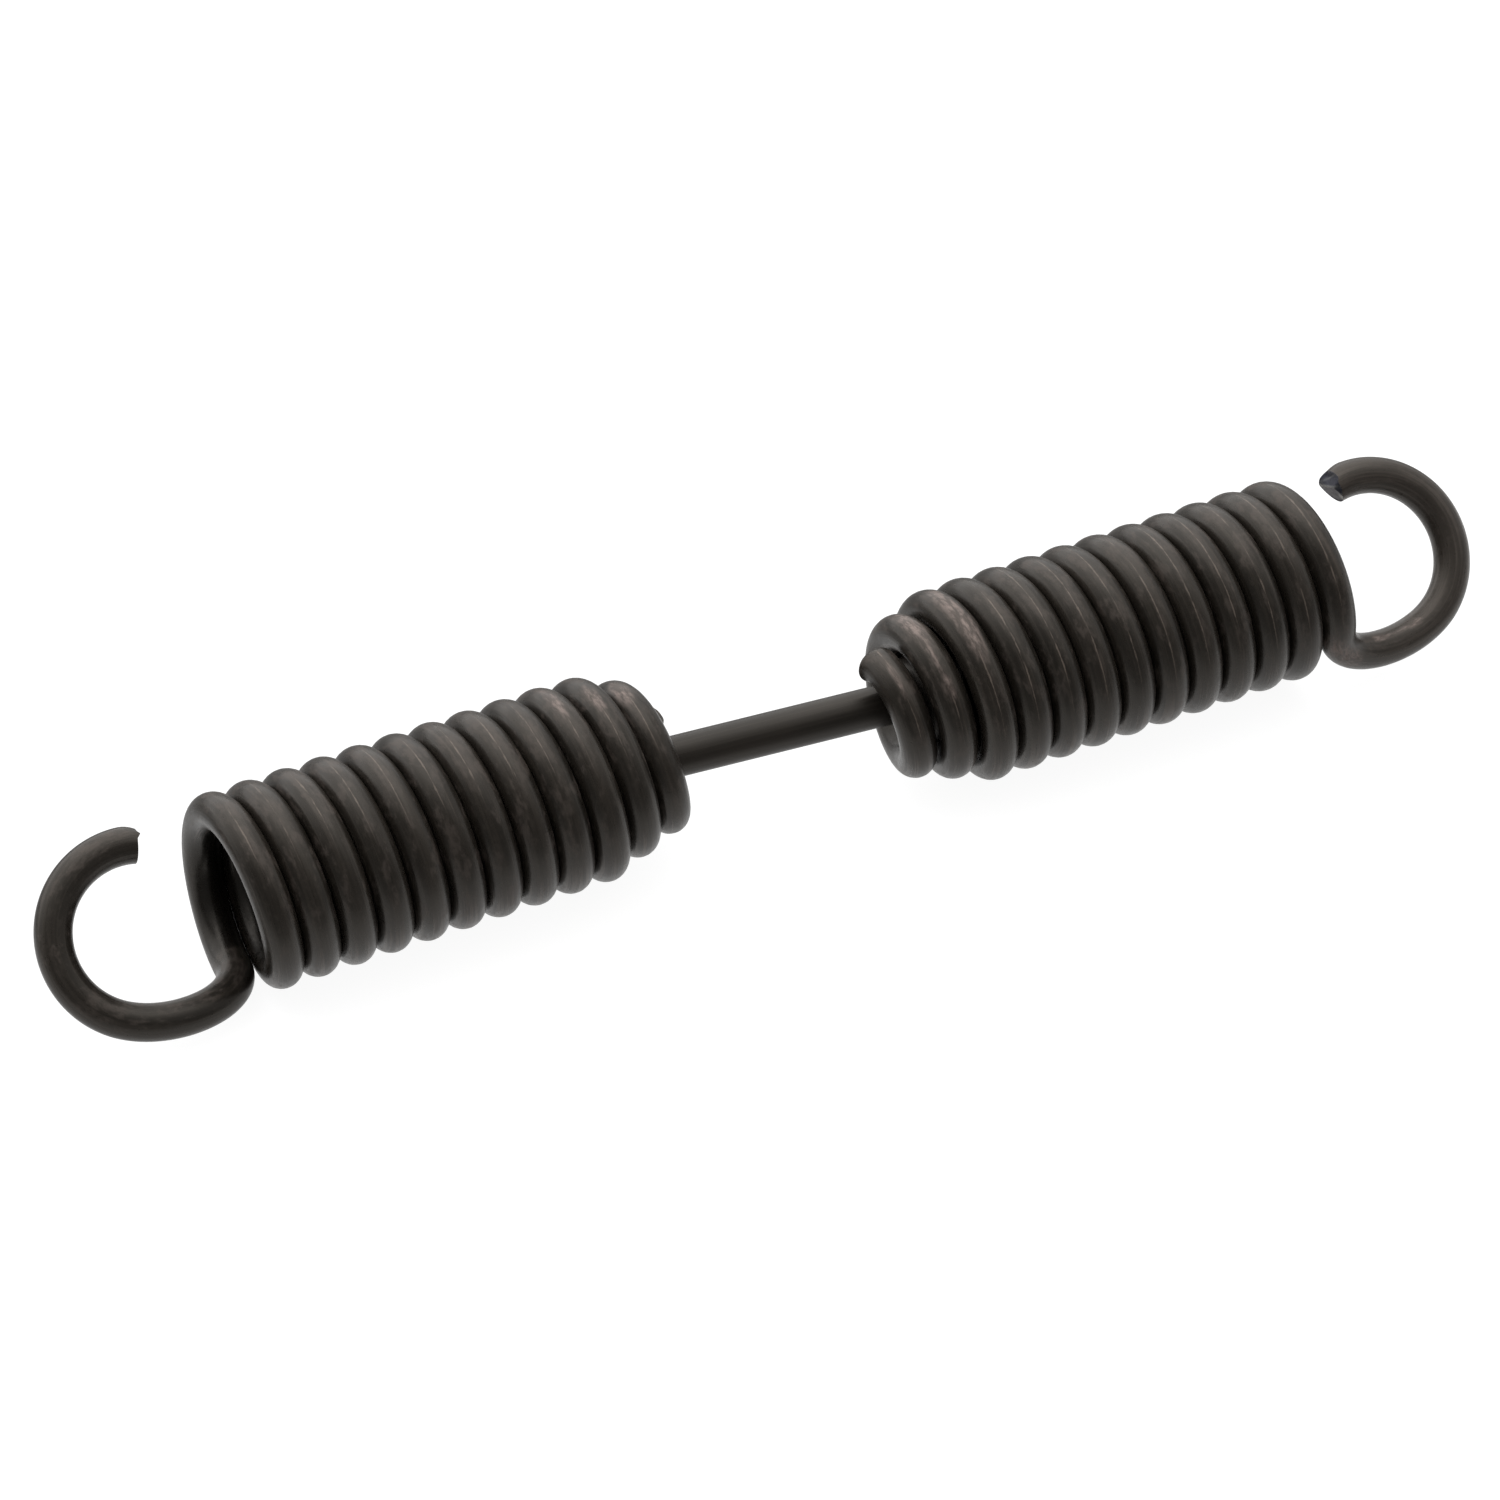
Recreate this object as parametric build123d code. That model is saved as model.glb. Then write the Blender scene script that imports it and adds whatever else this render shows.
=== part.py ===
from build123d import *
import os
from math import atan2, ceil, cos, degrees, hypot, pi, radians, sin, sqrt, tan

# Return spring of a heavy drum brake, as it lies on a bench. Millimetres, +X
# along the spring, +Z up, the origin in the middle of the connecting rod.
#
# It is three pieces: two coils, wound alike from round wire, and a straight
# rod with an upset head on each end. Each coil closes down to a cone at its
# inner end. The cone traps a head of the rod, so the coil can swivel on it.
# The last turn at the outer end is bent out into an open hook.

# Wire of the coils
wire_diameter = 5.6

# Coil body: close wound, with a hair's breadth between the turns
coil_outside = 30.45
turn_gap = 0.09
whole_turns = 12

# Where the wire starts and where it leaves for the hook, in degrees round the
# coil from the top of the hook's plane
wire_start_angle = 24.0
hook_start_angle = 144.0

# Coned inner end: outer diameter at the wire's start, turns to full size, and
# how fast it eases out. Halfway, its turns ride a little high. On one side they
# are drawn towards the rod, by a share of their distance from the axis.
cone_outside = 21.9
cone_turns = 3.0
cone_ease = 1.4
cone_rise = 0.3
cone_tilt = 0.045

# The winding is drawn as short arcs that follow it, so the wire stays round,
# and the cone is searched in small steps for the place where the head seats
arcs_per_turn = 6
seat_steps = 400

# Open hook, in the plane through the coil's axis. Its arc is measured from
# the outward direction of the axis, and its centre lies below the axis.
hook_inside = 19.9
hook_reach = 12.8
hook_drop = 1.19
hook_from = -61.1
hook_to = 106.5
bend_lead = 8.0
bend_run = 8.0

# Sheared wire ends: how far each cut leans from square, in degrees, and how
# much is trimmed off the longer side
inner_shear = 12.0
inner_trim = 0.6
tip_shear = 7.0
tip_trim = 0.35

# Connecting rod with its upset heads
rod_diameter = 6.3
head_diameter = 14.6
head_crown = 1.6
neck_fillet = 0.8

# How the pieces lie together
inner_end_gap = 33.1
seat_clearance = 0.25
coil_offset = 2.5
hook_lean = 44.0

# Worked out from the sizes above
wire_radius = wire_diameter / 2
pitch = wire_diameter + turn_gap
coil_radius = coil_outside / 2 - wire_radius
cone_radius = cone_outside / 2 - wire_radius
coil_turns = whole_turns + (hook_start_angle - wire_start_angle) / 360
hook_radius = hook_inside / 2 + wire_radius
rod_radius = rod_diameter / 2
head_radius = head_diameter / 2


def winding_point(turns):
    """Point of the wire's centre line, a number of turns from its inner end."""
    angle = radians(wire_start_angle + 360 * turns)
    done = min(turns / cone_turns, 1)
    narrowing = (1 - done) ** cone_ease
    radius = coil_radius - (coil_radius - cone_radius) * narrowing
    side = -radius * sin(angle)
    height = radius * cos(angle) + 4 * done * (1 - done) * cone_rise
    return Vector(pitch * turns + cone_tilt * narrowing * side, side, height)


def winding_lines():
    """Centre line of all the turns, from the inner end to the hook."""
    count = ceil(coil_turns * arcs_per_turn)
    ends = [coil_turns * i / count for i in range(count + 1)]
    arcs = []
    for start, end in zip(ends, ends[1:]):
        middle = winding_point((start + end) / 2)
        arcs.append(ThreePointArc(winding_point(start), middle, winding_point(end)))
    return arcs


def hook_point(centre_x, angle):
    """Point of the hook's centre line at an angle round its arc."""
    turn = radians(angle)
    return Vector(centre_x + hook_radius * cos(turn), 0, hook_radius * sin(turn) - hook_drop)


def hook_lines(wire_end, wire_heading):
    """The bend out of the last turn, and the arc of the hook."""
    centre_x = wire_end.X + hook_reach
    start = hook_point(centre_x, hook_from)
    middle = hook_point(centre_x, (hook_from + hook_to) / 2)
    tip = hook_point(centre_x, hook_to)
    hook_heading = Vector(-sin(radians(hook_from)), 0, cos(radians(hook_from)))
    leaving = wire_end + wire_heading * bend_lead
    joining = start - hook_heading * bend_run
    return Bezier(wire_end, leaving, joining, start), ThreePointArc(start, middle, tip)


def shear_off(wire, line, from_end, trim, lean, hinge):
    """Cut a wire end on a plane that leans about the hinge direction.

    The cut starts near the very end on one side of the wire and takes the
    other side back, as a shear leaves it. The block that is cut away reaches
    only half a turn's width along the hinge, so the next turn stays whole.
    """
    set_back = trim + wire_radius * tan(radians(lean))
    along = line.length - set_back if from_end else set_back
    outwards = 1 if from_end else -1
    point = line.position_at(along, position_mode=PositionMode.LENGTH)
    heading = line.tangent_at(along, position_mode=PositionMode.LENGTH) * outwards
    to_edge = (Align.CENTER, Align.CENTER, Align.MIN)
    width = pitch + wire_radius
    block = Pos(-wire_radius / 2, 0, 0) * Box(width, width, wire_radius, align=to_edge)
    cut = Plane(origin=point, x_dir=hinge, z_dir=heading)
    return wire - cut * Rot(lean, 0, 0) * block


def make_coil():
    """One coil with its hook. Its axis is X and its wire starts at x = 0."""
    turns = winding_lines()
    bend, hook = hook_lines(turns[-1] @ 1, turns[-1] % 1)
    centre_line = Wire([line.edge() for line in turns + [bend, hook]])
    section = Plane(origin=turns[0] @ 0, z_dir=turns[0] % 0) * Circle(wire_radius)
    wire = sweep(section, path=centre_line)
    wire = shear_off(wire, turns[0], False, inner_trim, inner_shear, (1, 0, 0))
    return shear_off(wire, hook, True, tip_trim, tip_shear, (0, -1, 0))


def seat_depth():
    """From a coil's inner end to the point that the coil swivels about.

    The round underside of the rod's head is part of a ball about that point.
    The wire's centre line just touches the ball, grown by the clearance and
    the wire's radius.
    """
    reach = head_radius + seat_clearance + wire_radius
    points = [winding_point(cone_turns * i / seat_steps) for i in range(seat_steps)]
    inside = [point for point in points if hypot(point.Y, point.Z) < reach]
    return max(point.X + sqrt(reach**2 - point.Y**2 - point.Z**2) for point in inside)


def head_outline(centre_x):
    """Half section of one end of the rod, from its middle to the crown."""
    neck_x = centre_x - sqrt(head_radius ** 2 - rod_radius ** 2)
    seat_angle = (pi / 2 + atan2(rod_radius, neck_x - centre_x)) / 2
    seat = (centre_x + head_radius * cos(seat_angle), head_radius * sin(seat_angle))
    crown_radius = (head_radius ** 2 + head_crown ** 2) / (2 * head_crown)
    crown_angle = atan2(head_radius, crown_radius - head_crown) / 2
    crown_x = centre_x + head_crown - crown_radius * (1 - cos(crown_angle))
    crown = (crown_x, crown_radius * sin(crown_angle))
    neck = (neck_x, rod_radius)
    rim = (centre_x, head_radius)
    nose = (centre_x + head_crown, 0)
    shank = Polyline((0, 0), (0, rod_radius), neck)
    closing = Line(nose, (0, 0))
    return shank + ThreePointArc(neck, seat, rim) + ThreePointArc(rim, crown, nose) + closing


def make_rod(half_span):
    """Rod along X with a head at each end, its ball centres at the half span."""
    half = revolve(make_face(head_outline(half_span)), Axis.X)
    rod = half + mirror(half, about=Plane.YZ)
    necks = rod.edges().filter_by(GeomType.CIRCLE).group_by(SortBy.RADIUS)[0]
    return fillet(necks, neck_fillet)


swivel_x = inner_end_gap / 2 + seat_depth()
rod_skew = degrees(atan2(coil_offset, swivel_x))

coil = make_coil()
leaning = Rot(-hook_lean, 0, 0)
right_coil = Pos(inner_end_gap / 2, -coil_offset, 0) * leaning * coil
left_coil = Pos(-inner_end_gap / 2, coil_offset, 0) * leaning * Rot(0, 0, 180) * coil
connecting_rod = Rot(0, 0, -rod_skew) * make_rod(hypot(swivel_x, coil_offset))

os.makedirs("parts", exist_ok=True)
export_step(left_coil, "parts/left_coil.step")
export_step(right_coil, "parts/right_coil.step")
export_step(connecting_rod, "parts/connecting_rod.step")

hook_centre_x = inner_end_gap / 2 + coil_turns * pitch + hook_reach
print("pitch", round(pitch, 3), "turns", round(coil_turns, 3))
print("swivel points at x", round(swivel_x, 3), "y", coil_offset, "rod skew", round(rod_skew, 2))
print("hook centre at x", round(hook_centre_x, 3), "below the axis", hook_drop)
print("bench at z", -coil_outside / 2)
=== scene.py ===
# %% [markdown]
# # A brake return spring
#
# The real object is three pieces of steel: two coils with an open hook on the
# outer end, and a straight rod between them whose hidden heads sit in the
# coils' coned inner ends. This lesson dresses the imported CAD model: it winds
# each coil again from a formula, fine enough for close views, and gives the
# wire its dark, oiled and scuffed finish. The CAD model is the frame, and
# nothing here leaves its box.

# %% Load the frame
from math import atan2, cos, degrees, exp, pi, radians, sin, tan

import bmesh
import bpy
import numpy as np
from mathutils import Matrix, Vector


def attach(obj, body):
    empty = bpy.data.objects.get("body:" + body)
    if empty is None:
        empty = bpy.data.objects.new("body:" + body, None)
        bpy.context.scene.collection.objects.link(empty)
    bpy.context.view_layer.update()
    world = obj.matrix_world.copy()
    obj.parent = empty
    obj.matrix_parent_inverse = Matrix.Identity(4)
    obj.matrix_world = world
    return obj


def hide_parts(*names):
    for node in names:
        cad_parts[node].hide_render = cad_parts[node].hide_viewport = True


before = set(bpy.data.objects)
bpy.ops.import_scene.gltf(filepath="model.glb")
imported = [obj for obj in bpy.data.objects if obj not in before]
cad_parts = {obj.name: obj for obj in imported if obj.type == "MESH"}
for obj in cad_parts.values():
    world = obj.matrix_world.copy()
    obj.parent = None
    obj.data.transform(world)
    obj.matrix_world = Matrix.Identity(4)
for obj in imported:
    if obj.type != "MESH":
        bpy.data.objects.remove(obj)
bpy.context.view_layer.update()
print("CAD nodes:", sorted(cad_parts))

# %% [markdown]
# ## Sizes
#
# A spring maker reads a spring as a short list of numbers: the wire, the coil,
# the pitch and the hook. The wire's whole centre line follows from them, so
# they are written once here, in metres. They are the sizes of the CAD source,
# but for the cone, which is drawn half a millimetre closer to the photo. Angles
# are in degrees, measured round the coil from the top of the hook's plane.

# %% Sizes of the wire, the coil and the hook
MM = 0.001
wire_radius = 2.8 * MM
pitch = 5.69 * MM
coil_radius = 12.425 * MM
cone_radius = 7.55 * MM
cone_turns = 2.4
cone_ease = 1.3
cone_rise = 0.5 * MM
cone_tilt = 0.05
wire_start_angle = 24.0
hook_start_angle = 144.0
coil_turns = 12 + (hook_start_angle - wire_start_angle) / 360

hook_radius = 12.75 * MM
hook_reach = 12.8 * MM
hook_drop = 1.19 * MM
hook_from = -61.1
hook_to = 106.5
bend_lead = 8.0 * MM
bend_run = 8.0 * MM

inner_end_gap = 33.1 * MM
coil_offset = 2.5 * MM
hook_lean = 44.0
bench_height = -(coil_radius + wire_radius)

# By how much the body's wire is drawn thicker, so that its turns close up, and
# how many sides the drawn wire has
closing = 0.035 * MM
section_sides = 40
print("turns of wire:", round(coil_turns, 2))

# %% [markdown]
# ## The camera
#
# The photograph was taken with a long lens from about 41 degrees above the
# bench and 24 degrees round to the left. The camera's place, its small roll
# and its small shift were found by fitting the coils' outline. A matrix of
# the camera's own right, up and back directions says all of that at once.

# %% Place the camera
camera_azimuth = radians(-24.30)
camera_elevation = radians(41.03)
camera_roll = radians(-1.432)
camera_distance = 0.904

back = Vector((
    sin(camera_azimuth) * cos(camera_elevation),
    -cos(camera_azimuth) * cos(camera_elevation),
    sin(camera_elevation),
))
level_right = Vector((cos(camera_azimuth), sin(camera_azimuth), 0))
level_up = back.cross(level_right)
right = level_right * cos(camera_roll) + level_up * sin(camera_roll)
up = back.cross(right)

camera_data = bpy.data.cameras.new("camera")
camera_data.sensor_width = 36
camera_data.lens = 146.75
camera_data.shift_x = -0.01689
camera_data.shift_y = -0.01221
camera = bpy.data.objects.new("camera", camera_data)
axes = Matrix((right, up, back)).transposed().to_4x4()
camera.matrix_world = Matrix.Translation(back * camera_distance) @ axes
bpy.context.scene.collection.objects.link(camera)
bpy.context.scene.camera = camera
print("camera at", [round(value, 3) for value in camera.matrix_world.translation])

# %% [markdown]
# ## Fields that read like sums
#
# In Geometry Nodes every plus or times is a node and two links. A formula of
# twenty nodes is hard to read as links, so this small class lets the script
# write it as a sum and makes the Math nodes itself. A Field is one number
# that may differ from point to point.

# %% Numbers and vectors in a node tree
class Field:
    """A number in a node tree that can be added, multiplied and so on."""

    def __init__(self, tree, value):
        self.tree = tree
        self.value = value

    def math(self, operation, *others):
        node = self.tree.nodes.new("ShaderNodeMath")
        node.operation = operation
        for socket, item in zip(node.inputs, (self,) + others):
            connect(self.tree, socket, item)
        return Field(self.tree, node.outputs[0])

    def __add__(self, other):
        return self.math("ADD", other)

    def __radd__(self, other):
        return self.math("ADD", other)

    def __sub__(self, other):
        return self.math("SUBTRACT", other)

    def __rsub__(self, other):
        return Field(self.tree, other).math("SUBTRACT", self)

    def __mul__(self, other):
        return self.math("MULTIPLY", other)

    def __rmul__(self, other):
        return self.math("MULTIPLY", other)

    def __truediv__(self, other):
        return self.math("DIVIDE", other)

    def __neg__(self):
        return self.math("MULTIPLY", -1.0)


def connect(tree, socket, item):
    """Link a field or an output to a socket, or set the socket to a number."""
    value = item.value if isinstance(item, Field) else item
    if isinstance(value, bpy.types.NodeSocket):
        tree.links.new(value, socket)
    else:
        socket.default_value = value


def vector(tree, x, y, z):
    """A vector from three numbers or fields."""
    node = tree.nodes.new("ShaderNodeCombineXYZ")
    for socket, item in zip(node.inputs, (x, y, z)):
        connect(tree, socket, item)
    return node.outputs[0]


def pick(tree, condition, when_false, when_true):
    """One of two vectors, by whether a field is true."""
    node = tree.nodes.new("GeometryNodeSwitch")
    node.input_type = "VECTOR"
    connect(tree, node.inputs["Switch"], condition)
    connect(tree, node.inputs["False"], when_false)
    connect(tree, node.inputs["True"], when_true)
    return node.outputs[0]

# %% [markdown]
# ## The wound wire
#
# Each coil is one length of wire, so it is one swept tube. Its centre line
# has three runs: the winding, which starts as a cone, the bend that leaves
# the last turn, and the arc of the hook. A tree makes one curve of evenly
# numbered points and sends each point to its place by formula. The tube then
# carries its own map, "wire_place": where a point is in the wire's section,
# and how far along the wire it is. Patterns that follow that map run along
# the wire as drawing lines do, through every turn.

# %% The formula of the centre line
def in_body(size, turns):
    """1 on the turns that touch, easing to 0 over half a turn at both ends."""
    nearest = (turns - size["Cone Turns"]).math("MINIMUM", size["Coil Turns"] - turns)
    return (nearest * 2.0).math("MINIMUM", 1.0).math("MAXIMUM", 0.0)


def winding_place(tree, size, turns):
    """Centre line of the turns, a number of turns from the inner end."""
    angle = size["Start Angle"] + turns * (2 * pi)
    done = (turns / size["Cone Turns"]).math("MINIMUM", 1.0)
    narrowing = (1.0 - done).math("POWER", size["Cone Ease"])
    radius = size["Coil Radius"] - (size["Coil Radius"] - size["Cone Radius"]) * narrowing
    radius = radius - size["Closing"] * in_body(size, turns)
    side = -(radius * angle.math("SINE"))
    to_one = 27 / 4  # done * done * (1 - done) is never more than 4 / 27
    lift = to_one * done * done * (1.0 - done) * size["Cone Rise"]
    height = radius * angle.math("COSINE") + lift
    return size["Pitch"] * turns + size["Cone Tilt"] * narrowing * side, side, height


def hook_place(size, centre_x, angle):
    """Centre line of the hook at an angle round its arc."""
    x = centre_x + size["Hook Radius"] * angle.math("COSINE")
    z = size["Hook Radius"] * angle.math("SINE") - size["Hook Drop"]
    return x, z


def bend_place(tree, size, t):
    """Centre line between the last turn and the hook, as a Bezier curve."""
    end = winding_place(tree, size, size["Coil Turns"])
    end_angle = size["Start Angle"] + size["Coil Turns"] * (2 * pi)
    climb = size["Pitch"] / (2 * pi)
    slant = (climb * climb + size["Coil Radius"] * size["Coil Radius"]).math("SQRT")
    heading = (
        climb / slant,
        -(size["Coil Radius"] * end_angle.math("COSINE") / slant),
        -(size["Coil Radius"] * end_angle.math("SINE") / slant),
    )
    arc_start = size["Hook From"]
    start_x, start_z = hook_place(size, end[0] + size["Hook Reach"], arc_start)
    start = (start_x, Field(tree, 0.0), start_z)
    hook_heading = (-arc_start.math("SINE"), Field(tree, 0.0), arc_start.math("COSINE"))
    rest = 1.0 - t
    weights = (rest * rest * rest, 3.0 * rest * rest * t, 3.0 * rest * t * t, t * t * t)
    places = []
    for e, h, s, g in zip(end, heading, start, hook_heading):
        leaving = e + h * size["Bend Lead"]
        joining = s - g * size["Bend Run"]
        corners = (e, leaving, joining, s)
        places.append(sum((c * w for c, w in zip(corners, weights)), Field(tree, 0.0)))
    return places

# %% [markdown]
# The tree below puts the three runs together. A straight line is resampled to
# as many points as the wire needs, and every point is moved to its place on
# the centre line. Curve to Mesh sweeps the round section along it. In the
# body the wire is drawn a hair thicker, so that the turns close up. The
# section's own points and the length along the curve are captured before the
# sweep, so that the map is still there on the finished tube.

# %% Build the tree that winds the wire
def add_input(tree, name, kind, value=None):
    """A named input of the tree, with its usual value if it has one."""
    socket = tree.interface.new_socket(name, in_out="INPUT", socket_type="NodeSocket" + kind)
    if value is not None:
        socket.default_value = value


def wound_wire_tree():
    """A coil with a coned end and a hook, from named sizes."""
    tree = bpy.data.node_groups.new("wound_wire", "GeometryNodeTree")
    tree.interface.new_socket("Geometry", in_out="OUTPUT", socket_type="NodeSocketGeometry")
    sizes = {
        "Wire Radius": wire_radius, "Closing": closing, "Pitch": pitch,
        "Coil Radius": coil_radius, "Cone Radius": cone_radius, "Cone Turns": cone_turns,
        "Cone Ease": cone_ease, "Cone Rise": cone_rise, "Cone Tilt": cone_tilt,
        "Coil Turns": coil_turns, "Start Angle": radians(wire_start_angle),
        "Hook Radius": hook_radius, "Hook Reach": hook_reach, "Hook Drop": hook_drop,
        "Hook From": radians(hook_from), "Hook To": radians(hook_to),
        "Bend Lead": bend_lead, "Bend Run": bend_run,
    }
    counts = {
        "Winding Steps": 860, "Bend Steps": 40, "Hook Steps": 110,
        "Section Sides": section_sides,
    }
    for name, value in sizes.items():
        add_input(tree, name, "Float", value)
    for name, value in counts.items():
        add_input(tree, name, "Int", value)
    add_input(tree, "Material", "Material")
    group_in = tree.nodes.new("NodeGroupInput")
    size = {name: Field(tree, group_in.outputs[name]) for name in sizes | counts}

    # How far a point is along each of the three runs
    index = Field(tree, tree.nodes.new("GeometryNodeInputIndex").outputs[0])
    bend_first = size["Winding Steps"]
    hook_first = bend_first + size["Bend Steps"]
    last = hook_first + size["Hook Steps"]
    on_winding = (index / bend_first).math("MINIMUM", 1.0)
    on_bend = (index - bend_first) / size["Bend Steps"]
    on_hook = (index - hook_first) / size["Hook Steps"]

    # Where each run puts the point
    winding = winding_place(tree, size, on_winding * size["Coil Turns"])
    bend = bend_place(tree, size, on_bend)
    end_x = size["Pitch"] * size["Coil Turns"]
    hook_angle = size["Hook From"] + (size["Hook To"] - size["Hook From"]) * on_hook
    hook_x, hook_z = hook_place(size, end_x + size["Hook Reach"], hook_angle)
    later = pick(
        tree, index.math("GREATER_THAN", hook_first),
        vector(tree, *bend), vector(tree, hook_x, 0.0, hook_z),
    )
    place = pick(tree, index.math("GREATER_THAN", bend_first), vector(tree, *winding), later)

    # The curve, with as many points as there are steps and one more
    line = tree.nodes.new("GeometryNodeCurvePrimitiveLine")
    resample = tree.nodes.new("GeometryNodeResampleCurve")
    tree.links.new(line.outputs["Curve"], resample.inputs["Curve"])
    connect(tree, resample.inputs["Count"], last + 1.0)
    put = tree.nodes.new("GeometryNodeSetPosition")
    tree.links.new(resample.outputs["Curve"], put.inputs["Geometry"])
    connect(tree, put.inputs["Position"], place)

    # The length along the wire, and the place in the section
    along = tree.nodes.new("GeometryNodeCaptureAttribute")
    along.domain = "POINT"
    along.capture_items.new("FLOAT", "Along")
    parameter = tree.nodes.new("GeometryNodeSplineParameter")
    tree.links.new(put.outputs["Geometry"], along.inputs["Geometry"])
    tree.links.new(parameter.outputs["Length"], along.inputs["Along"])
    circle = tree.nodes.new("GeometryNodeCurvePrimitiveCircle")
    connect(tree, circle.inputs["Resolution"], size["Section Sides"])
    connect(tree, circle.inputs["Radius"], size["Wire Radius"])
    section = tree.nodes.new("GeometryNodeCaptureAttribute")
    section.domain = "POINT"
    section.capture_items.new("VECTOR", "Section")
    position = tree.nodes.new("GeometryNodeInputPosition")
    tree.links.new(circle.outputs["Curve"], section.inputs["Geometry"])
    tree.links.new(position.outputs[0], section.inputs["Section"])

    # The swept tube with its map
    sweep = tree.nodes.new("GeometryNodeCurveToMesh")
    tree.links.new(along.outputs["Geometry"], sweep.inputs["Curve"])
    tree.links.new(section.outputs["Geometry"], sweep.inputs["Profile Curve"])
    thicker = size["Closing"] / size["Wire Radius"]
    thicker = thicker * in_body(size, on_winding * size["Coil Turns"])
    connect(tree, sweep.inputs["Scale"], thicker + 1.0)
    parts = tree.nodes.new("ShaderNodeSeparateXYZ")
    tree.links.new(section.outputs["Section"], parts.inputs[0])
    wire_place = vector(tree, parts.outputs["X"], parts.outputs["Y"], along.outputs["Along"])
    store = tree.nodes.new("GeometryNodeStoreNamedAttribute")
    store.data_type = "FLOAT_VECTOR"
    store.domain = "POINT"
    store.inputs["Name"].default_value = "wire_place"
    tree.links.new(sweep.outputs["Mesh"], store.inputs["Geometry"])
    tree.links.new(wire_place, store.inputs["Value"])

    smooth = tree.nodes.new("GeometryNodeSetShadeSmooth")
    tree.links.new(store.outputs["Geometry"], smooth.inputs["Geometry"])
    real = tree.nodes.new("GeometryNodeRealizeInstances")
    tree.links.new(smooth.outputs["Geometry"], real.inputs["Geometry"])
    finish = tree.nodes.new("GeometryNodeSetMaterial")
    tree.links.new(real.outputs["Geometry"], finish.inputs["Geometry"])
    tree.links.new(group_in.outputs["Material"], finish.inputs["Material"])
    group_out = tree.nodes.new("NodeGroupOutput")
    tree.links.new(finish.outputs["Geometry"], group_out.inputs[0])
    return tree


winding_tree = wound_wire_tree()
print("the wire's tree has", len(winding_tree.nodes), "nodes")

# %% [markdown]
# ## The finish of the wire
#
# Spring steel wire for brakes is drawn, wound, and then given a dark oiled
# phosphate coat. It looks brown black with a satin gloss. Three things break
# it up: faint lines along the wire from the drawing die, a fine grain from
# the coat, and pale scuffs on the outer crests where springs rub together in
# their box. The patterns read the wire's own map, and change far more slowly
# along the wire than across it, so that noise turns into streaks.

# %% Helpers for materials
def add_node(tree, kind, **settings):
    """A node with its properties set by name."""
    node = tree.nodes.new(kind)
    for name, value in settings.items():
        setattr(node, name, value)
    return node


def wire_streaks(tree, place, across, along, detail=3.0):
    """Noise on the wire's map, so many blotches a metre across and along it."""
    squeeze = add_node(tree, "ShaderNodeMapping", vector_type="POINT")
    squeeze.inputs["Scale"].default_value = (across, across, along)
    tree.links.new(place, squeeze.inputs["Vector"])
    noise = add_node(tree, "ShaderNodeTexNoise")
    noise.inputs["Scale"].default_value = 1.0
    noise.inputs["Detail"].default_value = detail
    noise.inputs["Roughness"].default_value = 0.6
    tree.links.new(squeeze.outputs[0], noise.inputs["Vector"])
    return Field(tree, noise.outputs["Fac"])


def between(field, low, high):
    """0 below the low value, 1 above the high one, and smooth between."""
    tree = field.tree
    node = add_node(tree, "ShaderNodeMapRange", interpolation_type="SMOOTHSTEP")
    connect(tree, node.inputs["Value"], field)
    node.inputs["From Min"].default_value = low
    node.inputs["From Max"].default_value = high
    return Field(tree, node.outputs["Result"])


def blend_colours(tree, share, first, second):
    """The first colour where the share is 0 and the second where it is 1."""
    node = add_node(tree, "ShaderNodeMix", data_type="RGBA")
    connect(tree, node.inputs["Factor"], share)
    for name, colour in (("A", first), ("B", second)):
        socket = next(s for s in node.inputs if s.name == name and s.type == "RGBA")
        if isinstance(colour, tuple):
            socket.default_value = colour + (1.0,)
        else:
            tree.links.new(colour, socket)
    return next(s for s in node.outputs if s.type == "RGBA")

# %% [markdown]
# The colours below are all dark and a little warm, and they are laid over each
# other like washes: each has a mask that says where it shows. Some masks are
# noise alone. Others are marks that the script stores on the wire further on,
# such as "crest" for the outside of a turn or "cut" for bare steel.

# %% The colours of the finish
black_coat, brown_coat = (0.015, 0.0127, 0.0102), (0.022, 0.0182, 0.0146)
die_line, pale_grain = (0.052, 0.044, 0.036), (0.060, 0.050, 0.041)
weathered_coat = (0.105, 0.085, 0.074)
dust_film = (0.055, 0.046, 0.039)
unlit_inside = (0.010, 0.0085, 0.007)
crest_band, tool_line_glint = (0.055, 0.045, 0.037), (0.19, 0.154, 0.129)
hook_streak, bench_reflection_streak = (0.12, 0.100, 0.086), (0.19, 0.16, 0.14)
scuffed_coat = (0.10, 0.080, 0.066)
rubbed_coat, bare_patch = (0.095, 0.073, 0.063), (0.30, 0.235, 0.210)
cut_steel, edge_gleam_paint = (0.060, 0.063, 0.082), (0.42, 0.42, 0.40)
gloss_level, gloss_tint = 0.4, (1.0, 0.93, 0.85, 1.0)

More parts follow.
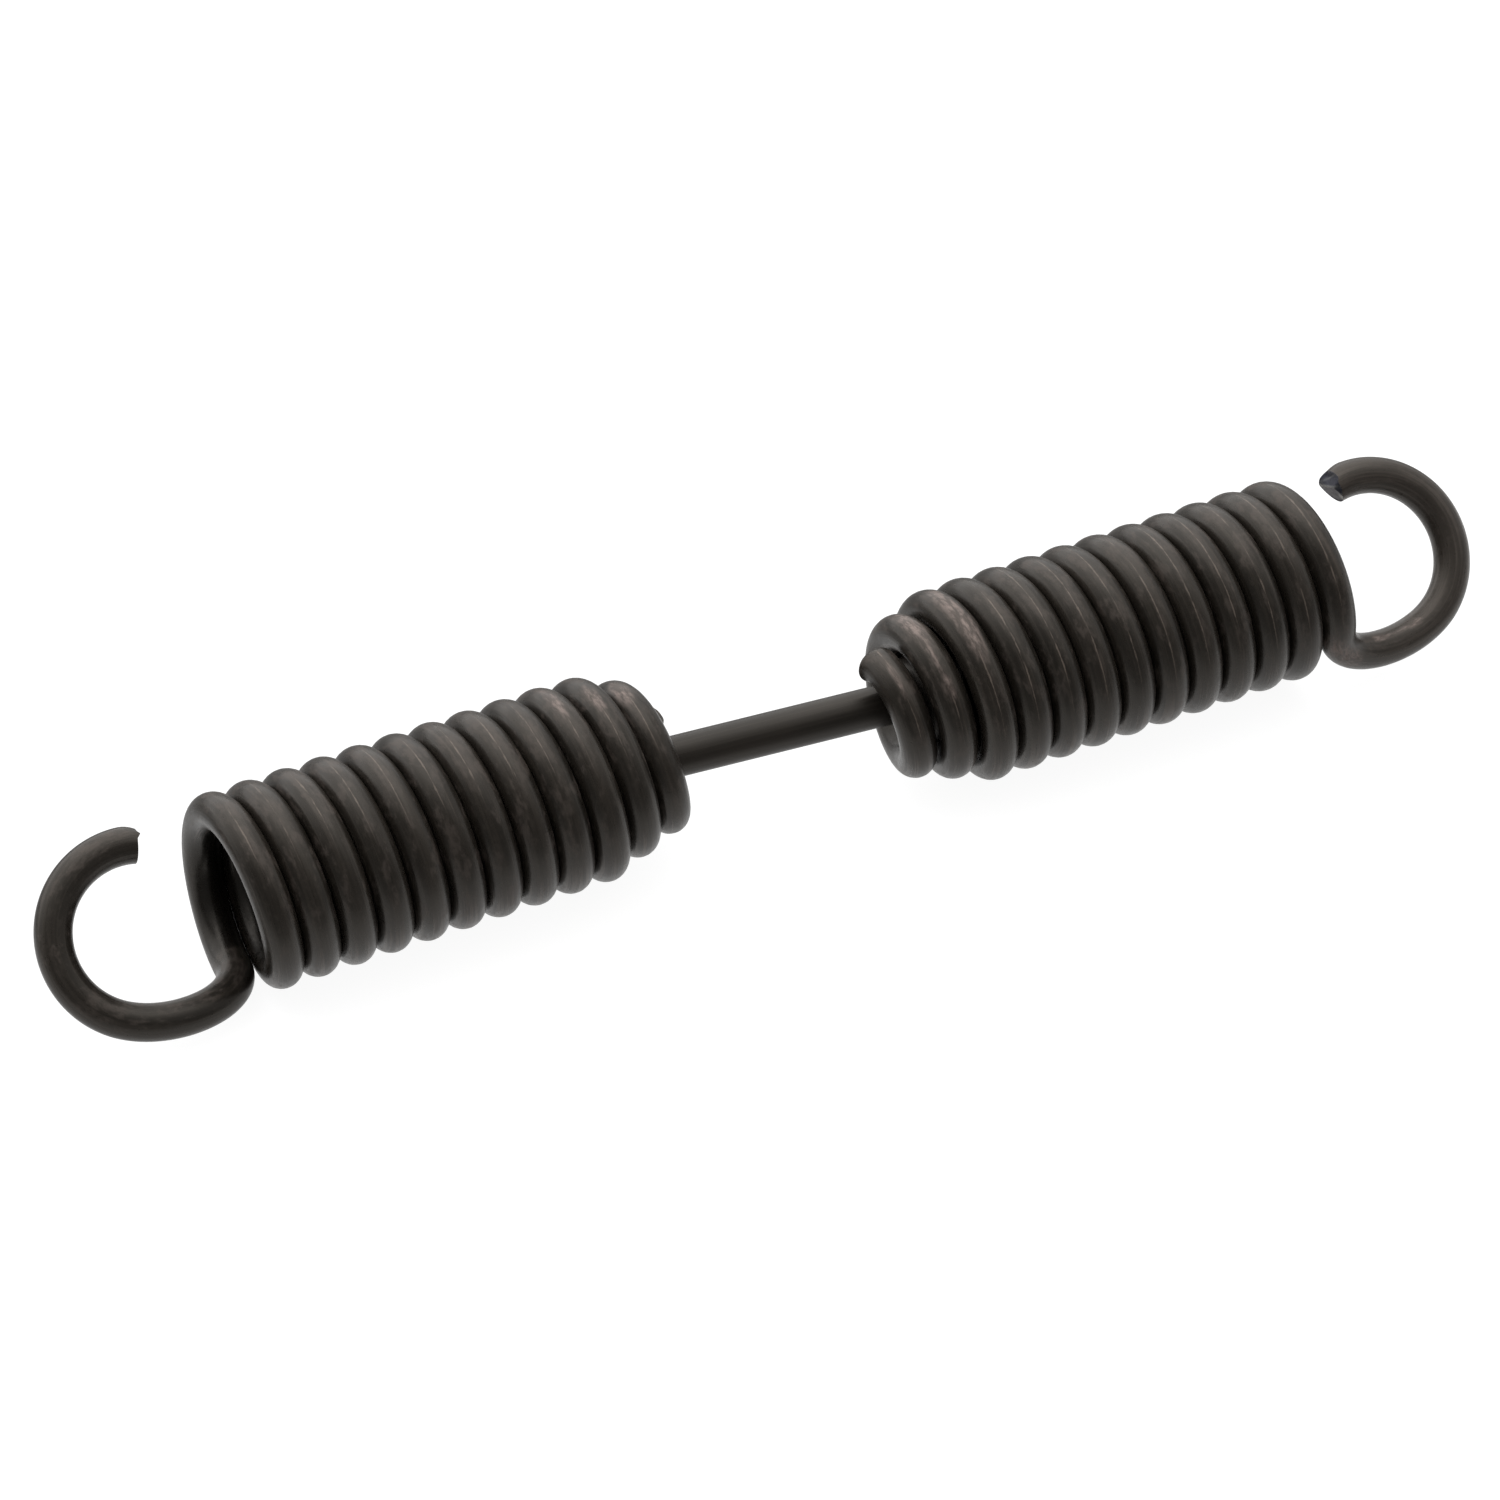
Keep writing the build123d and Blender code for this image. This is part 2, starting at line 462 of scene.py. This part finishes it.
# %% The dark oiled wire
def oiled_wire():
    """The wire's material, from its map and its marks."""
    material = bpy.data.materials.new("oiled_wire")
    material.use_nodes = True
    tree = material.node_tree
    shader = tree.nodes["Principled BSDF"]

    def stored(name, output):
        return add_node(tree, "ShaderNodeAttribute", attribute_name=name).outputs[output]

    def mark(name):
        return Field(tree, stored(name, "Fac"))

    place = stored("wire_place", "Vector")
    crest, flank, top, glinting = mark("crest"), mark("flank"), mark("top"), mark("glinting")
    rubbed, cut, gleam = mark("rubbed"), mark("cut"), mark("gleam")
    hidden, dusty = mark("hidden"), mark("dusty")

    # The coat: brown black, in cloudy patches, with lines along the wire
    clouds = wire_streaks(tree, place, 180.0, 60.0, 4.0)
    lines = wire_streaks(tree, place, 1500.0, 22.0, 3.0)
    grain = wire_streaks(tree, place, 1300.0, 800.0, 2.0)
    coat = blend_colours(tree, between(clouds, 0.35, 0.65), black_coat, brown_coat)
    coat = blend_colours(tree, between(lines, 0.46, 0.66) * 0.4, coat, die_line)
    coat = blend_colours(tree, between(grain, 0.52, 0.75) * 0.3, coat, pale_grain)

    # Weathered patches, mostly on the upper side, dust on the hook, and painted
    # shade on the inside of the coil, which the light hardly reaches
    patches = wire_streaks(tree, place, 520.0, 240.0, 5.0) + 0.08 * between(top, 0.55, 1.0)
    weathered = between(patches, 0.52, 0.64) * (0.3 + 0.7 * between(grain, 0.38, 0.58))
    coat = blend_colours(tree, weathered * 0.42, coat, weathered_coat)
    coat = blend_colours(tree, dusty * 0.6, coat, dust_film)
    # Painted shade: the inside of the coil is darkened towards black
    coat = blend_colours(tree, hidden, coat, unlit_inside)

    # The crest: a rubbed band, and the thin line that the coiling tool left, painted light as a
    # glint a little to the -X side of the crest
    fraying = between(wire_streaks(tree, place, 500.0, 30.0, 3.0), 0.38, 0.66)
    band = between(crest, 0.90, 0.99) * fraying
    coat = blend_colours(tree, band * 0.3, coat, crest_band)
    wander = wire_streaks(tree, place, 0.0, 60.0, 4.0)
    off_line = (flank + 0.12 + (wander - 0.5) * 0.20).math("ABSOLUTE")
    unbroken = between(wire_streaks(tree, place, 1400.0, 260.0, 5.0), 0.36, 0.56)
    ragged = off_line + 0.14 * (grain - 0.5)
    # A painted glint: the light line shows only over the angles where the tool's line catches the
    # light
    line = (1.0 - between(ragged, 0.006, 0.046)) * unbroken * glinting
    coat = blend_colours(tree, line * 0.75, coat, tool_line_glint)

    # Painted reflections of the bright bench in fine lines along the undersides of the turns, and
    # fainter pale streaks on the hook
    streaks = between(wire_streaks(tree, place, 1700.0, 50.0, 5.0), 0.48, 0.60)
    coat = blend_colours(tree, streaks * dusty * 0.35, coat, hook_streak)
    coat = blend_colours(tree, streaks * between(-top, 0.0, 0.5) * 0.75, coat, bench_reflection_streak)

    # Scuffs: patches where a neighbour in the bin has rubbed the coat through
    mottle = between(wire_streaks(tree, place, 1500.0, 600.0, 4.0), 0.40, 0.66)
    scuffs = between(wire_streaks(tree, place, 1100.0, 60.0, 4.0), 0.60, 0.72)
    scuffs = scuffs * between(crest, 0.80, 0.97) * 0.4
    coat = blend_colours(tree, scuffs, coat, scuffed_coat)
    coat = blend_colours(tree, rubbed * 0.7, coat, rubbed_coat)
    coat = blend_colours(tree, rubbed * mottle * 0.9, coat, bare_patch)

    # Bare steel on the cuts of the hooks, and painted highlights where the fresh edges of the
    # cuts, the pincers' ridge and the burr gleam
    coat = blend_colours(tree, cut, coat, cut_steel)
    coat = blend_colours(tree, gleam, coat, edge_gleam_paint)
    tree.links.new(coat, shader.inputs["Base Color"])

    # Gloss and relief: worn places are duller, and the lines stand up a little
    worn = weathered * 0.08 + 0.15 * rubbed * mottle + 0.2 * cut
    roughness = 0.33 - 0.04 * between(clouds, 0.3, 0.7) + 0.25 * (grain - 0.5) + worn
    connect(tree, shader.inputs["Roughness"], roughness)
    connect(tree, shader.inputs["Metallic"], cut * 0.5)
    shader.inputs["Specular IOR Level"].default_value = gloss_level
    shader.inputs["Specular Tint"].default_value = gloss_tint

    height = lines * 1.2 + grain * 0.3 + patches * 0.7 + clouds * 0.8 - rubbed * mottle * 0.5
    bump = add_node(tree, "ShaderNodeBump")
    bump.inputs["Strength"].default_value = 0.32
    bump.inputs["Distance"].default_value = 0.11 * MM
    connect(tree, bump.inputs["Height"], height)
    tree.links.new(bump.outputs["Normal"], shader.inputs["Normal"])
    return material


wire_finish = oiled_wire()
print("wire finish:", len(wire_finish.node_tree.nodes), "nodes")

# %% [markdown]
# ## Sheared ends
#
# Both ends of each wire are cut off. The inner ends are sheared nearly square.
# The right hook was pinched off by pincers, which leave two facets that meet in
# a ridge, and the left one tore and kept a burr. Each cut is a function of the
# place in the wire's section, in millimetres: b runs along the hinge that the
# cut leans about, and a across it, towards the outside of the hook at a tip and
# towards the coil's axis at an inner end. The function says how far back the
# cut lies, how far the surface is pressed in there, and how much it gleams.

# %% The shapes of the cuts
half_wire = wire_radius / MM
inner_slope = tan(radians(12.0))


def clamped(value, low=0.0, high=1.0):
    """The value, but no lower than low and no higher than high."""
    return min(max(value, low), high)


def peak(value, middle, width):
    """1 at the middle, falling off smoothly on both sides."""
    return exp(-((value - middle) / width) ** 2)


def sheared(a, b):
    """A plain leaning cut that squeezed out a lip to one side."""
    lip = -0.45 * max(-b / half_wire, 0.0) ** 2
    gleam = 0.4 * max(a / half_wire, 0.0) ** 6 if b < -0.4 else 0.0
    return 0.4 + (half_wire - a) * inner_slope, lip, gleam


def stubby(a, b):
    """The same cut a millimetre further back, without the lip."""
    return 1.6 + (half_wire - a) * inner_slope, 0.0, 0.0


def pinched(a, b):
    """Pincers: an inner facet, and a steeper outer one, with a ridge between."""
    off_ridge = a - 0.3 + 0.3 * b
    steep = clamped(0.85 + 0.3 * b, 0.2, 0.85)
    back_by = max(-0.24 * off_ridge, min(steep * off_ridge, 1.18))
    bevel = 0.65 * clamped(b - 1.6)
    pressed = 0.45 * max(a / half_wire, 0.0) ** 2
    gleam = 0.65 * peak(off_ridge, 0.0, 0.16) + 0.25 * peak(a, 1.5, 0.15)
    corner = 0.8 * peak(a, -2.2, 0.5) * peak(b, 1.4, 0.7)
    return max(back_by, bevel), pressed, min(gleam + corner, 1.0)


def torn(a, b):
    """A torn cut: set back, but for a burr that stands up near the outside."""
    burr = peak(a, 1.4, 0.4)
    return 0.62 - 0.5 * burr, 0.5 * max(a / half_wire, 0.0) ** 2, 0.5 * burr

# %% [markdown]
# A cut moves the last rings of the tube back along the wire, each point as far
# as the cut lies back there, and bunches them up behind it. The tube is open at
# its ends, so the face is then added in rings that shrink towards the middle.
# They are fine enough for the ridge and the burr to be real shape.

# %% Cut and close one end of a tube
face_rings = [0.985] + [0.95 - 0.05 * step for step in range(19)]  # shares of the radius
end_rings = 9  # rings of the tube that move
near_rings = 20  # rings that say how the wire runs near its end
bunching = 2.2  # how much closer the rings lie near the cut
press_run = 2.0 * MM  # how far along the wire the squeeze of a cut reaches


def close_end(surface, tube, rings, sign, hinge, shape, bare):
    """Lean the tube's end back to the cut, and add the face of the cut.

    rings is the tube's points, ring by ring from this end, and tube is its
    vertices, in that order for sign 1, and in the reverse for sign -1. hinge
    is the line that the cut leans about, shape is one of the cuts above, and
    bare says how bare the steel of its face is.
    """
    count, sides = rings.shape[:2]
    outward = rings[0].mean(axis=0) - rings[1].mean(axis=0)
    outward /= np.linalg.norm(outward)
    hinge = np.array(hinge) - np.dot(hinge, outward) * outward
    hinge /= np.linalg.norm(hinge)
    aside = np.cross(outward, hinge)
    centres = rings[:near_rings].mean(axis=1)
    steps = np.linalg.norm(np.diff(centres, axis=0), axis=1)
    run = np.concatenate([[0.0], np.cumsum(steps)])
    spots = rings[0] - centres[0]
    spots = np.stack([spots @ aside, spots @ hinge], axis=1)
    zone = run[end_rings]

    def on_line(points, distance):
        return np.array([np.interp(distance, run, points[:, k]) for k in range(3)])

    def cut_at(spot):
        back_by, pressed, gleam = shape(spot[0] / MM, spot[1] / MM)
        return back_by * MM, pressed * MM, gleam

    def vertex(ring, side):
        row = ring if sign > 0 else count - 1 - ring
        return tube[row * sides + side]

    for side in range(sides):
        back_by, pressed = cut_at(spots[side])[:2]
        for ring in range(end_rings):
            from_cut = (zone - back_by) * (ring / end_rings) ** bunching
            point = on_line(rings[:near_rings, side], back_by + from_cut)
            centre = on_line(centres, back_by + from_cut)
            kept = 1 - pressed / wire_radius * max(0.0, 1 - from_cut / press_run) ** 2
            vertex(ring, side).co = centre + (point - centre) * kept

    # The face, ring by ring from the rim to the middle point
    layers = surface.verts.layers
    place_layer = layers.float_vector["wire_place"]
    cut_layer, gleam_layer = layers.float["cut"], layers.float["gleam"]
    loop = [vertex(0, side) for side in range(sides)]
    rim_places = [v[place_layer].copy() for v in loop]
    rim_kept = [1 - cut_at(spot)[1] / wire_radius for spot in spots]
    for share in face_rings + [0.0]:
        inner = []
        for side in range(sides if share else 1):
            back_by, _, gleam = cut_at(spots[side] * share)
            spot = spots[side] * share * rim_kept[side]
            point = centres[0] + aside * spot[0] + hinge * spot[1] - outward * back_by
            new = surface.verts.new(point)
            place = rim_places[side]
            new[place_layer] = (place[0] * share, place[1] * share, place[2])
            new[cut_layer] = bare
            new[gleam_layer] = gleam
            inner.append(new)
        for side in range(sides):
            after = (side + 1) % sides
            corners = [loop[side], loop[after]]
            corners += [inner[after], inner[side]] if share else inner
            face = surface.faces.new(corners if sign < 0 else corners[::-1])
            face.smooth = True
        loop = inner

# %% [markdown]
# ## Wind the two coils
#
# Both coils come from the same tree, so they are truly alike, as they are on
# the real spring. The right one is the left one turned end for end. Each gets
# its own plain mesh, with no modifier left on it.

# %% Make a plain mesh from the tree
def set_inputs(modifier, values):
    """Set a Geometry Nodes modifier's inputs by the sockets' identifiers."""
    for item in modifier.node_group.interface.items_tree:
        if item.item_type == "SOCKET" and item.in_out == "INPUT" and item.name in values:
            modifier[item.identifier] = values[item.name]


def plain_mesh(tree, name, values):
    """The tree's result as a plain mesh, with no modifier left on it."""
    maker = bpy.data.objects.new(name + "_maker", bpy.data.meshes.new(name + "_maker"))
    bpy.context.scene.collection.objects.link(maker)
    modifier = maker.modifiers.new("wind", "NODES")
    modifier.node_group = tree
    set_inputs(modifier, values)
    graph = bpy.context.evaluated_depsgraph_get()
    mesh = bpy.data.meshes.new_from_object(maker.evaluated_get(graph))
    maker.modifiers.remove(modifier)
    bpy.data.objects.remove(maker)
    mesh.name = name
    return mesh

# %% [markdown]
# Wear isn't the same all round. The coat goes first on the crests, where the
# outside of the wire faces away from the coil's axis, and where one spring has
# lain on another. So each point of the winding gets a set of marks, numbers
# from 0 to 1 that the finish reads. Two of them are not wear: one says where
# the tool's line gets a painted glint, and one where the inside of the coil
# gets painted shade. A mark is worked out from where the point lies on the
# coil, and moves with it when the coil swivels.

# %% Mark the wear
wound_length = 0.93  # metres of wire, from the inner end to near the bend
dust_run = 20 * MM  # of wire, over which the dust comes in
# The tool's line is painted as a glint only over a range of angles, and comes in over this many
# degrees at its ends
glint_fade = 25  # degrees, over which the tool's line comes in


def mark_wire(surface, placement, rubs, scrapes, glint_range, dust):
    """Mark what the finish needs to know about each point of the winding.

    crest is 1 where the surface faces straight away from the coil's axis, and
    flank and top are how far it faces towards +X and +Z once the coil is in its
    place. rubbed is 1 in the middle of a rub. A rub is given by its turn, its
    angle round the coil, its angle round the wire, its length and width in mm.
    A scrape is rubbed too, and is given by its two ends and its width in mm.
    One mark is 1 well inside the range of angles where the tool's line catches
    the light, the only place where its glint is painted, and hidden is 1 on the
    inside of the coil, where the finish paints shade. dusty is as much as dust
    says on the hook, and 0 on the winding. All angles are in degrees.
    """
    surface.normal_update()
    layers = surface.verts.layers
    names = ("crest", "flank", "top", "rubbed", "glinting", "hidden", "dusty")
    crest, flank, top, rubbed, glinting, hidden, dusty = (layers.float.new(name) for name in names)
    place = layers.float_vector["wire_place"]
    turned = placement.to_3x3()
    spots = []
    for turn, clock, round_wire, length, width in rubs:
        turns = turn + ((clock - wire_start_angle) % 360) / 360
        spots.append((turns, radians(round_wire), length * MM, width * MM))
    for start, end, width in scrapes:
        start, run = Vector(start) * MM, (Vector(end) - Vector(start)) * MM
        for v in surface.verts:
            share = clamped((v.co - start).dot(run) / run.length_squared)
            off = (v.co - start - run * share).length / (width * MM / 2)
            v[rubbed] = max(v[rubbed], 1.0 - off * off)
    for v in surface.verts:
        facing = turned @ v.normal
        v[top] = facing.z
        v[dusty] = dust * clamped((v[place].z - wound_length) / dust_run)
        away = Vector((0, v.co.y, v.co.z))
        if v[place].z > wound_length or not away.length:
            continue
        away.normalize()
        outwards = v.normal.dot(away)
        v[crest] = max(0.0, outwards)
        # Painted shade: 1 on the inside of the coil, where the finish darkens the wire
        v[hidden] = clamped(-0.1 - 1.5 * outwards)
        v[flank] = facing.x
        angle = atan2(-v.co.y, v.co.z)
        # The tool's line is painted as a glint only over the range of angles where it catches the
        # light
        from_top = degrees(angle) % 360
        inside = min(from_top - glint_range[0], glint_range[1] - from_top)
        v[glinting] = clamped(inside / glint_fade)

        # How many turns of wire lie before the point, and the rubs near it
        around = atan2(v.normal.x, outwards)
        clock = angle / (2 * pi) - wire_start_angle / 360
        turns = round(v.co.x / pitch - clock) + clock
        for at, round_wire, length, width in spots:
            run = (turns - at) * 2 * pi * coil_radius / length
            aside = (around - round_wire) * wire_radius / width
            v[rubbed] = max(v[rubbed], 1.0 - (run * run + aside * aside) * 4)

# %% [markdown]
# Now a coil can be made in one go: wind it, mark it, cut both ends, and put it
# on the bench. Its place goes into the mesh, so that the object stays at the
# origin as a CAD node does.

# %% Wind, mark, cut and place a coil
def wound_coil(name, placement, rubs, scrapes, glint_range, dust, shapes):
    """One coil in its place, with the shapes of its inner and its outer cut."""
    mesh = plain_mesh(winding_tree, name, {"Material": wire_finish})
    surface = bmesh.new()
    surface.from_mesh(mesh)
    mark_wire(surface, placement, rubs, scrapes, glint_range, dust)
    for name_of_mark in ("cut", "gleam"):
        surface.verts.layers.float.new(name_of_mark)
    tube = surface.verts[:]
    rings = np.array([v.co for v in tube]).reshape(-1, section_sides, 3)
    close_end(surface, tube, rings, 1, (1, 0, 0), shapes[0], 0.0)
    close_end(surface, tube, rings[::-1], -1, (0, -1, 0), shapes[1], 1.0)
    bmesh.ops.recalc_face_normals(surface, faces=surface.faces[:])
    surface.to_mesh(mesh)
    surface.free()
    mesh.transform(placement)
    coil = bpy.data.objects.new(name, mesh)
    bpy.context.scene.collection.objects.link(coil)
    print(name, "has", sum(len(p.vertices) - 2 for p in mesh.polygons), "triangles")
    return coil

# %% [markdown]
# The two coils differ only in their places, their wear, their painted glint
# and their cuts. Each row of rubs is a turn, an angle round the coil, an angle
# round the wire, a length and a width. Most of them lie on the right coil's
# cone, and the two scrapes on its bend and its hook, as in the photograph. The
# tool's line is painted as a glint in front, where it catches the light.

# %% Make both coils
lean = Matrix.Rotation(radians(-hook_lean), 4, "X")
end_for_end = Matrix.Rotation(pi, 4, "Z")
coils = {
    "right": {
        "placement": Matrix.Translation((inner_end_gap / 2, -coil_offset, 0)) @ lean,
        "rubs": [
            (1, 37, -5, 14, 3.0), (1, 62, -8, 10, 0.8), (1, 89, -5, 4.5, 1.6),
            (2, 38, -2, 12, 3.0), (2, 58, 0, 12, 3.4), (0, 70, -9, 8, 0.8),
        ],
        "scrapes": [
            ((68.4, -8.0, -12.2), (71.9, -5.0, -15.2), 4.6),
            ((77.4, -3.8, -13.0), (85.6, -2.5, -12.3), 1.3),
        ],
        # The tool's line is painted as a glint over these angles round the coil
        "glint_range": (12, 135), "dust": 1.0, "shapes": (sheared, pinched),
    },
    "left": {
        "placement": Matrix.Translation((-inner_end_gap / 2, coil_offset, 0)) @ lean @ end_for_end,
        "rubs": [(0, 329, 14, 8, 3.0), (1, 318, 6, 7, 2.0), (2, 325, 5, 9, 1.8)],
        "scrapes": [],
        # The tool's line is painted as a glint over these angles round the coil
        "glint_range": (270, 345), "dust": 0.1, "shapes": (stubby, torn),
    },
}
for side, facts in coils.items():
    coil = wound_coil(side + "_wound_coil", **facts)
    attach(coil, side + "_spring")
    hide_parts(side + "_coil")

# %% [markdown]
# ## The rod
#
# The CAD rod has its true shape, with both heads, so it stays and only gets a
# finish. It is bar steel with the same dark coat, smoother than the wire
# because it wasn't wound. Its streaks run along it, so the pattern's space is
# first turned by the few degrees that the rod lies askew.

# %% Finish the rod
rod_skew = radians(-5.7)
rod_black, rod_brown = (0.012, 0.0100, 0.0080), (0.022, 0.0180, 0.0145)
rod_line = (0.045, 0.038, 0.031)


def oiled_rod():
    """The rod's material, with streaks along it."""
    material = bpy.data.materials.new("oiled_rod")
    material.use_nodes = True
    tree = material.node_tree
    shader = tree.nodes["Principled BSDF"]
    coordinates = add_node(tree, "ShaderNodeTexCoord").outputs["Object"]
    turn = add_node(tree, "ShaderNodeMapping", vector_type="TEXTURE")
    turn.inputs["Rotation"].default_value = (0, 0, rod_skew)
    tree.links.new(coordinates, turn.inputs["Vector"])
    parts = add_node(tree, "ShaderNodeSeparateXYZ")
    tree.links.new(turn.outputs[0], parts.inputs[0])
    place = vector(tree, parts.outputs["Y"], parts.outputs["Z"], parts.outputs["X"])
    clouds = wire_streaks(tree, place, 200.0, 50.0, 4.0)
    lines = wire_streaks(tree, place, 2600.0, 14.0, 2.0)
    coat = blend_colours(tree, between(clouds, 0.35, 0.7), rod_black, rod_brown)
    coat = blend_colours(tree, between(lines, 0.45, 0.8) * 0.4, coat, rod_line)
    tree.links.new(coat, shader.inputs["Base Color"])
    connect(tree, shader.inputs["Roughness"], 0.42 - 0.08 * clouds)
    shader.inputs["Specular IOR Level"].default_value = gloss_level
    shader.inputs["Specular Tint"].default_value = gloss_tint
    bump = add_node(tree, "ShaderNodeBump")
    bump.inputs["Strength"].default_value = 0.25
    bump.inputs["Distance"].default_value = 0.06 * MM
    connect(tree, bump.inputs["Height"], lines + clouds * 0.5)
    tree.links.new(bump.outputs["Normal"], shader.inputs["Normal"])
    return material


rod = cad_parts["connecting_rod"]
rod.data.materials.clear()
rod.data.materials.append(oiled_rod())
print("rod finished")

# %% [markdown]
# ## Bench and light
#
# The photograph is a shop picture on pure white. The bench is a floor that
# glows: white to the camera, and in reflections bright near the spring and dim
# further off. That draws the bright rims along the undersides of the turns. A
# little of the spring's soft shadow still shows on it.

# %% Build the bench
def direct_rays(tree):
    """1 or 0 for the camera's rays, and for those from a reflection or glass."""
    rays = add_node(tree, "ShaderNodeLightPath")
    mirrored = Field(tree, rays.outputs["Is Glossy Ray"])
    through = Field(tree, rays.outputs["Is Transmission Ray"])
    return Field(tree, rays.outputs["Is Camera Ray"]), mirrored.math("MAXIMUM", through)


def bench_finish():
    """A grey floor that glows white to the camera, and in a pool of light."""
    material = bpy.data.materials.new("bench")
    material.use_nodes = True
    tree = material.node_tree
    shader = tree.nodes["Principled BSDF"]
    shader.inputs["Base Color"].default_value = (0.22, 0.22, 0.22, 1)
    shader.inputs["Roughness"].default_value = 1.0
    shader.inputs["Specular IOR Level"].default_value = 0.0
    shader.inputs["Emission Color"].default_value = (1, 1, 1, 1)
    place = add_node(tree, "ShaderNodeTexCoord").outputs["Object"]
    parts = add_node(tree, "ShaderNodeSeparateXYZ")
    tree.links.new(place, parts.inputs[0])
    across = Field(tree, parts.outputs["Y"]).math("ABSOLUTE")
    pool = 1.0 - 0.9 * between(across, 0.02, 0.075)  # metres from the middle line
    camera_ray, other_rays = direct_rays(tree)
    glow = 0.77 * other_rays * pool + 0.93 * camera_ray
    connect(tree, shader.inputs["Emission Strength"], glow)
    return material


bpy.ops.mesh.primitive_circle_add(
    vertices=64, radius=3.0, fill_type="NGON", location=(0, 0, bench_height)
)
bench = bpy.context.object
bench.name = "bench"
bench.data.materials.append(bench_finish())
print("the bench is", round(-bench_height / MM, 3), "mm below the rod's axis")

# %% [markdown]
# The room is bright behind the spring, dark towards the camera and dimmer to
# the right. Round wire mirrors the whole room, so this fall of light gives each
# turn its soft upper gloss and its dark flank. The camera itself sees plain
# white. One broad lamp above and a little behind helps.

# %% Light the room
room_light, room_fall, right_fall = 1.6, 1.4, 0.5
towards_camera = (-0.42, -0.88, -0.2)  # about 1 long, and a little below level
world = bpy.data.worlds.new("studio")
bpy.context.scene.world = world
world.use_nodes = True
world_tree = world.node_tree
background = world_tree.nodes["Background"]
background.inputs["Color"].default_value = (1, 1, 1, 1)
direction = add_node(world_tree, "ShaderNodeTexCoord").outputs["Generated"]
towards = add_node(world_tree, "ShaderNodeVectorMath", operation="DOT_PRODUCT")
world_tree.links.new(direction, towards.inputs[0])
towards.inputs[1].default_value = towards_camera
to_camera_side = Field(world_tree, towards.outputs["Value"])
sides = add_node(world_tree, "ShaderNodeSeparateXYZ")
world_tree.links.new(direction, sides.inputs[0])
to_right_side = between(Field(world_tree, sides.outputs["X"]), 0.3, 0.85)
room = room_light - room_fall * between(to_camera_side, -0.45, 0.55)
room = room * (1.0 - right_fall * to_right_side)
camera_ray = direct_rays(world_tree)[0]
connect(world_tree, background.inputs["Strength"], room + camera_ray * (1.0 - room))

lamp_place = Vector((0.15, 0.5, 1.1))
lamp_data = bpy.data.lights.new("overhead", "AREA")
lamp_data.shape = "RECTANGLE"
lamp_data.size, lamp_data.size_y = 1.6, 1.2
lamp_data.energy = 3.2
lamp = bpy.data.objects.new("overhead", lamp_data)
lamp.location = lamp_place
lamp.rotation_euler = (-lamp_place).to_track_quat("-Z", "Y").to_euler()
bpy.context.scene.collection.objects.link(lamp)
bpy.context.scene.view_settings.view_transform = "Standard"
print("room and lamp are in place")
